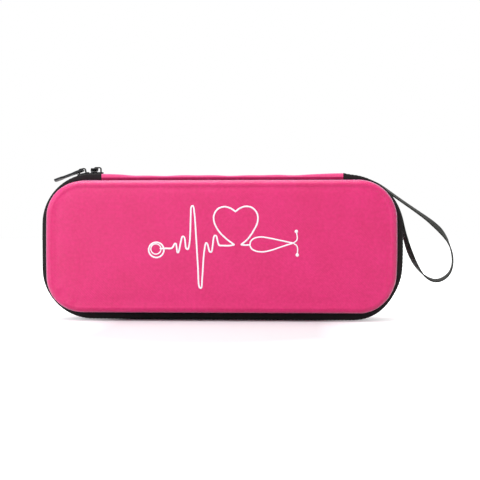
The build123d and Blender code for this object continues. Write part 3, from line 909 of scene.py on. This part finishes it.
PULL_LEAN = 22.4
PULL_BAR = Vector((-113.595, 0, 118.816)) * MM


def make_pull_a():
    """Tab of slider A, drawn up against the bridge and a little twisted about its length."""
    node = nodes["slider_a_pull"]
    mesh = node.data.copy()
    mesh.transform(node.matrix_world)
    tab = bpy.data.objects.new("slider_a_tab", mesh)
    bpy.context.scene.collection.objects.link(tab)
    lean = radians(PULL_LEAN)
    along = Vector((-cos(lean), 0, -sin(lean)))
    shift = -along * 0.75 * MM
    twist = Matrix.Rotation(radians(7), 4, along)
    for v in mesh.vertices:
        local = v.co - PULL_BAR
        reach = local.dot(along)
        if reach > 8 * MM:
            local -= along * min((reach / MM - 8) / 18, 1) * 2.4 * MM
        v.co = PULL_BAR + twist @ local + shift
    soften_edges(tab, 0.22)
    give(tab, metal, "pull_a", ["slider_a_pull"])


make_pull_a()


# ---- stitching -------------------------------------------
def topstitch(distance, side, start, end, pitch):
    """Row of stitches round the belt at a distance from the seam."""
    places = even_places(start, end, pitch)
    lines = []
    for at in (places[:-1], places[:-1] + np.diff(places) * 0.72):
        x, z = sample(belt(-0.02), at).T
        lines.append(joined(x, side * distance, z))
    return capsules("row", *lines, 0.2)


for side, half, body in HALVES:
    rows = [
        topstitch(7.5, side, PLACE_RIGHT + 0.3, PLACE_LEFT - 0.3, 3.0),
        topstitch(3.7, side, CHAIN_RIGHT + 0.3, PLACE_END - 0.3, 2.4),
    ]
    give(merged(f"{half}_tape_stitches", rows), thread, body)
    # short rows across the ends of the spine cloth
    starts = [(edge * (SPINE_HALF - 1.3), side * (1.2 + 1.9 * k), HEIGHT - 0.22)
              for edge in (-1, 1) for k in range(4)]
    ends = [(x, y + side * 1.25, z) for x, y, z in starts]
    give(capsules(f"{half}_spine_stitches", starts, ends, 0.2), pink_thread, body)


# ---- inside the rear tray: elastic bands with their stitched ends
BAND_X, BAND_WIDE = 60.0, 25.0
for mirror, label in ((-1, "left"), (1, "right")):
    along = np.concatenate([np.linspace(-39, -33, 5), np.linspace(-31, 31, 40),
                            np.linspace(33, 39, 5)])
    slack = np.clip(1 - (np.abs(along) / 33) ** 2, 0, 1)
    across = np.linspace(-1, 1, 27)
    rows, uv = [], []
    for top, shares in ((True, across), (False, across[::-1])):
        for share in shares:
            lift = 1.15 - 0.28 * abs(share) ** 10 if top else 0.05
            x = mirror * BAND_X + share * (BAND_WIDE / 2 - 0.5 * slack)
            rows.append(joined(x, FLOOR_Y - lift - 0.7 * slack, MID_Z + along))
            uv.append(joined(along, share * BAND_WIDE / 2))
    strip = sweep(f"elastic_{label}", rows, uv, 50)
    give(strip, elastic, "base", [f"retaining_band_{label}"])

FOLD = box(-12.3, 12.3, -2.9, 2.9, 0.5, 4)
FOLD_LEVELS = ((1.2, 1, 1), (1.62, 1, 1), (1.76, 0.985, 0.93))  # height and two scales
corners = [(-11.2, -2.0), (11.2, -2.0), (11.2, 2.0), (-11.2, 2.0)]
SEAMS = [*zip(corners, corners[1:] + corners[:1]), corners[::2], corners[1::2]]
folds, starts, ends = [], [], []
for x0, z0 in ((x, MID_Z + z) for x in (-BAND_X, BAND_X) for z in (-36.0, 36.0)):
    rows = [[(x0 + x * wide, FLOOR_Y - lift, z0 + z * tall) for x, z in FOLD]
            for lift, wide, tall in FOLD_LEVELS]
    size = len(FOLD)
    faces = skin(rows, False, True)
    faces += [tuple(reversed(range(size))), tuple(range(2 * size, 3 * size))]
    fold = new_object("fold", np.concatenate(rows), faces, np.array(FOLD * 3))
    folds.append(tidied(fold, angle=40))
    for (xa, za), (xb, zb) in SEAMS:
        count = max(int(hypot(xb - xa, zb - za) / 1.7), 2)
        for k in range(count):
            for spots, at in ((starts, k / count), (ends, (k + 0.72) / count)):
                spots.append((x0 + xa + (xb - xa) * at, FLOOR_Y - 1.8, z0 + za + (zb - za) * at))
give(merged("band_folds", folds), elastic, "base", ["band_end_tabs"])
give(capsules("band_stitches", starts, ends, 0.17), thread, "base")


# ---- inside the lid: mesh pocket with an elastic hem -----
NET_Y, NET_TOP, HEM_HEIGHT = 10.4, 74.0, 8.0
NET_EDGE = WALL + TRAY_DRAFT * (10.8 - RIM_GAP) / (FLOOR_Y - RIM_GAP) + 0.1


def pocket_span(z):
    """Left and right ends of the pocket at a height."""
    ring = outline(LEDGE_X + NET_EDGE, LEDGE_Z + NET_EDGE, TRAY_RADIUS - NET_EDGE)
    half = ring[: RING // 2 + 1]
    order = np.argsort(half[:, 1])
    return np.interp(z, half[order, 1], half[order, 0])


def make_net():
    """Knitted mesh: diamond holes between threads, in the pocket's outline."""
    pitch = 2.5
    low, high = LEDGE_Z + NET_EDGE, NET_TOP - HEM_HEIGHT + 1.0
    rows = int((high - low) / (pitch / 2)) + 1
    step = (high - low) / rows
    knots = {}
    for r in range(rows + 1):
        z = low + r * step
        reach = float(pocket_span(z))
        count = int(reach / pitch)
        for c in range(-count - 1, count + 2):
            x = min(max((c + 0.5 * (r % 2)) * pitch, -reach), reach)
            bow = 1.1 * sin(pi * (z - low) / (high - low)) ** 2 * cos(pi * x / (2 * reach)) ** 2
            knots[r, c] = np.array([x, -NET_Y - bow, z])
    points, faces = [], []
    for (r, c), here in knots.items():
        for shift in ((0, 1) if r % 2 else (-1, 0)):
            other = knots.get((r + 1, c + shift))
            if other is not None and 0.4 < hypot(here[0] - other[0], here[2] - other[2]) < 2.6:
                add_thread(points, faces, here, other)
    return tidied(new_object("pocket_mesh", points, faces))


def add_thread(points, faces, first, last, radius=0.36):
    """Adds a four-sided thread between two knots to the lists of a mesh."""
    heading = (last - first) / np.linalg.norm(last - first)
    across = np.cross(heading, (0.0, 1.0, 0.0))
    across *= radius / np.linalg.norm(across)
    third = np.cross(heading, across) * 0.6
    add_tube(points, faces, [
        circle(middle, across, third, 4)
        for middle in (first - heading * 0.1, last + heading * 0.1)
    ])


def make_hem():
    """Elastic hem folded over the net's upper edge, gathered a little along its length."""
    low = NET_TOP - HEM_HEIGHT
    heights = np.linspace(low, NET_TOP, 9)
    rows, uv = [], []
    for outer, levels in ((True, heights), (False, heights[::-1])):
        for z in levels:
            reach = float(pocket_span(z))
            xs = np.linspace(-reach, reach, 181)
            rise = sin(pi * (z - low) / HEM_HEIGHT)
            depth = -NET_Y - 0.45 - 0.22 * rise
            if outer:
                depth = -NET_Y + 1.3 + rise * (0.22 + 0.14 * np.sin(xs * 2.3))
            rows.append(joined(xs, depth, z))
            uv.append(joined(xs, z))
    return sweep("pocket_hem_elastic", rows, uv, 60)


hem = make_hem()
give(hem, elastic, "lid", ["pocket_hem"])
mesh_net = make_net()
give(mesh_net, net, "lid", ["pocket_net"])


# ---- line print on the lid -------------------------------
def smooth_line(points, steps=10):
    """Dense points of a Catmull-Rom curve through the given ones."""
    points = [np.array(p, float) for p in points]
    padded = [2 * points[0] - points[1], *points, 2 * points[-1] - points[-2]]
    result = []
    for a, b, c, d in zip(padded, padded[1:], padded[2:], padded[3:]):
        ab, bc, cd = (max(np.linalg.norm(q - r) ** 0.5, 1e-6) for q, r in ((a, b), (b, c), (c, d)))
        for t in np.linspace(0, 1, steps, endpoint=False):
            m = c - b + bc * ((b - a) / ab - (c - a) / (ab + bc))
            n = c - b + bc * ((d - c) / cd - (d - b) / (bc + cd))
            result.append(
                (2 * t**3 - 3 * t**2 + 1) * b + (t**3 - 2 * t**2 + t) * m
                + (-2 * t**3 + 3 * t**2) * c + (t**3 - t**2) * n
            )
    return np.array([*result, points[-1]])


PRINT_X, PRINT_Z = 0.2, 0.9


def on_lid(flat, rise):
    """Points of the print on the lid's face, raised a little."""
    x, z = flat.T
    return joined(x + PRINT_X, -FACE_Y - 0.02 - rise, z + MID_Z + PRINT_Z)


def ink_line(line, width, lift, closed=False):
    """Low domed ribbon of ink along a line on the lid, with round ends."""
    heading = np.roll(line, -1, 0) - np.roll(line, 1, 0) if closed else np.gradient(line, axis=0)
    heading /= np.linalg.norm(heading, axis=1)[:, None]
    normal = joined(-heading[:, 1], heading[:, 0])
    half = np.full(len(line), width / 2)
    if not closed:
        reach = width / 2 * np.array([[0.95], [0.75], [0.45]])
        grown = width / 2 * np.array([0.31, 0.66, 0.89])
        line = np.concatenate([
            line[0] - heading[0] * reach, line, line[-1] + heading[-1] * reach[::-1]
        ])
        normal = np.concatenate([normal[:1]] * 3 + [normal] + [normal[-1:]] * 3)
        half = np.concatenate([grown, half, grown[::-1]])
    section = [
        (-1, 0), (-0.8, 0.07), (0, 0.1 + lift), (0.8, 0.07), (1, 0), (0.6, -0.06), (-0.6, -0.06),
    ]
    rows = [on_lid(line + normal * (half * share)[:, None], rise) for share, rise in section]
    return sweep("line", rows, closed=closed)


def ink_ring(centre, radius, width, lift):
    """Ring of ink on the lid."""
    return ink_line(arc(centre, radius, 0, 2 * pi, 49)[:-1], width, lift, True)


def ink_dot(centre, radius, lift):
    """Low domed dot of ink on the lid."""
    rows = [on_lid(arc(centre, share * radius, 0, 2 * pi, 25)[:-1], rise)
            for share, rise in ((0.9, -0.06), (1, 0), (0.85, 0.08), (0.5, 0.1 + lift))]
    faces = skin(rows, False, True) + [tuple(range(24)), tuple(range(3 * 24, 4 * 24))]
    return tidied(new_object("dot", np.concatenate(rows), faces))


MAIN_LINE, TUBE_LINE, EAR_LINE = 1.2865, 1.1205, 0.913
PULSE = [
    (-46.7, -2.3), (-42.4, -2.2), (-37.6, -1.9), (-35.3, 1.6), (-34.5, 1.3), (-33.3, -5.4),
    (-32.6, -5.3), (-29.3, 7.0), (-28.0, 6.6), (-26.4, -2.3), (-25.2, -2.8), (-24.0, 1.0),
    (-23.2, 12.0), (-22.9, 22.6), (-22.2, 30.6), (-21.1, 30.8), (-19.9, 24.0), (-18.9, 10.0),
    (-17.3, -16.0), (-16.0, -32.6), (-14.8, -33.0), (-13.9, -25.0), (-12.4, -5.0), (-10.9, 2.0),
    (-9.9, 1.3), (-8.0, -4.8), (-6.8, -4.9), (-4.4, 7.6), (-3.1, 7.6), (-1.6, 2.4), (-0.6, 0.3),
    (2.4, 0.0), (7.6, 0.0), (10.8, 0.6),
]
HEART = [
    (10.9, 0.8), (5.0, 5.2), (-0.8, 11.0), (-4.6, 18.3), (-4.7, 23.8), (-1.6, 28.6), (3.4, 30.2),
    (8.2, 29.0), (12.0, 26.5),
]
HEART_BACK = [
    (12.0, 26.5), (15.8, 29.2), (20.4, 30.5), (25.4, 29.2), (29.0, 24.6), (29.2, 18.5),
    (26.0, 11.4), (21.6, 5.2), (16.6, 0.8),
]
NECK = [(16.6, 0.7), (19.6, 0.4), (23.0, 0.5)]
TUBE_UP = [
    (23.2, 0.5), (23.9, 3.3), (26.6, 5.7), (31.4, 6.7), (38.2, 5.9), (47.2, 4.0), (56.8, 2.0)
]
TUBE_DOWN = [
    (23.2, 0.5), (24.5, -2.3), (28.2, -4.3), (33.4, -4.8), (39.4, -3.7), (48.0, -0.8),
    (56.8, 2.0)
]
EAR_UP = [(56.8, 2.0), (59.2, 3.7), (60.0, 5.2), (59.3, 11.0)]
EAR_DOWN = [(56.8, 2.0), (59.4, 0.2), (60.2, -1.8), (60.0, -7.2)]
strokes = [
    ink_ring((-49.9, -3.4), 5.95, 1.25, 0.012),
    ink_ring((-50.2, -2.7), 4.0, 0.9, 0.016),
]
for k, (points, width) in enumerate((
    (PULSE, MAIN_LINE), (HEART, MAIN_LINE), (HEART_BACK, MAIN_LINE), (NECK, MAIN_LINE),
    (TUBE_UP, TUBE_LINE), (TUBE_DOWN, TUBE_LINE), (EAR_UP, EAR_LINE), (EAR_DOWN, EAR_LINE),
)):
    strokes.append(ink_line(smooth_line(points), width, 0.004 * k))
strokes += [ink_dot(tip, 1.35, 0.03) for tip in (EAR_UP[-1], EAR_DOWN[-1])]
give(merged("lid_line_print", strokes), ink, "lid", ["lid_print"])


# ---- light, floor and backdrop ---------------------------
def camera_share(g):
    """1 for rays that show the background as it is seen: camera, glossy and transmission."""
    rays = g.add("ShaderNodeLightPath").outputs
    share = g.math("MAXIMUM", rays["Is Camera Ray"], rays["Is Transmission Ray"])
    return g.math("MAXIMUM", share, rays["Is Glossy Ray"])


AMBIENT = 0.37
world = bpy.data.worlds.new("studio")
bpy.context.scene.world = world
world.use_nodes = True
sky = Graph(tree=world.node_tree)
background = sky.tree.nodes["Background"]
background.inputs["Color"].default_value = (1, 1, 1, 1)
sky.feed(background.inputs["Strength"], sky.ramp(camera_share(sky), 0, 1, AMBIENT, 1.0))


def area_light(name, place, aim, size, power, colour=(1, 1, 1)):
    """Rectangular light that faces its aim; places and sizes in metres."""
    data = bpy.data.lights.new(name, "AREA")
    data.shape = "RECTANGLE"
    data.size, data.size_y = size
    data.energy = power
    data.color = colour
    light = bpy.data.objects.new(name, data)
    bpy.context.scene.collection.objects.link(light)
    light.location = place
    light.rotation_euler = (Vector(aim) - Vector(place)).to_track_quat("-Z", "Y").to_euler()


area_light("top", (-0.25, -0.12, 1.1), (0, -0.02, 0.06), (1.3, 0.7), 15)
area_light("front_left", (-0.85, -1.4, 0.62), (-0.02, 0, 0.06), (0.7, 0.8), 9.2, (0.9, 0.94, 1.0))
area_light("left", (-1.3, -0.35, 0.3), (-0.13, 0, 0.06), (0.4, 0.8), 4.4, (0.62, 0.8, 1.0))
area_light("front_right", (1.3, -1.3, 0.5), (0, 0, 0.06), (0.8, 1.0), 3.4, (0.92, 0.92, 1.0))

bpy.ops.mesh.primitive_plane_add(size=12, location=(0, 0, -0.0002))
floor = bpy.context.active_object
floor.name = "floor"
FLOOR_LIT, FLOOR_SEEN = (0.5, 0.5, 0.5, 1), (0.695, 0.715, 0.715, 1)
surface = Graph("floor_white")
share = camera_share(surface)
surface.finish(surface.mix(share, FLOOR_LIT, FLOOR_SEEN), 0.5,
               Specular_IOR_Level=0.1, Emission_Color=(1, 1, 1, 1))
# away from the case the floor turns into the plain white of the backdrop
squeezed = surface.add("ShaderNodeVectorMath", operation="MULTIPLY")
surface.feed(squeezed.inputs[0], surface.coordinates())
squeezed.inputs[1].default_value = (1.6, 1.0, 1.0)
apart = surface.add("ShaderNodeVectorMath", operation="LENGTH")
surface.feed(apart.inputs[0], squeezed.outputs[0])
far = surface.ramp(apart.outputs["Value"], 0.19, 0.32, kind="SMOOTHSTEP")
sideways = surface.math("ABSOLUTE", surface.split(surface.coordinates())[0])
beside = surface.ramp(sideways, 0.075, 0.165)
glow = surface.math("MULTIPLY", surface.math("MAXIMUM", far, beside), share)
surface.feed(surface.shader.inputs["Emission Strength"], glow)
floor.data.materials.append(surface.material)

view = bpy.context.scene.view_settings
view.view_transform = "Standard"
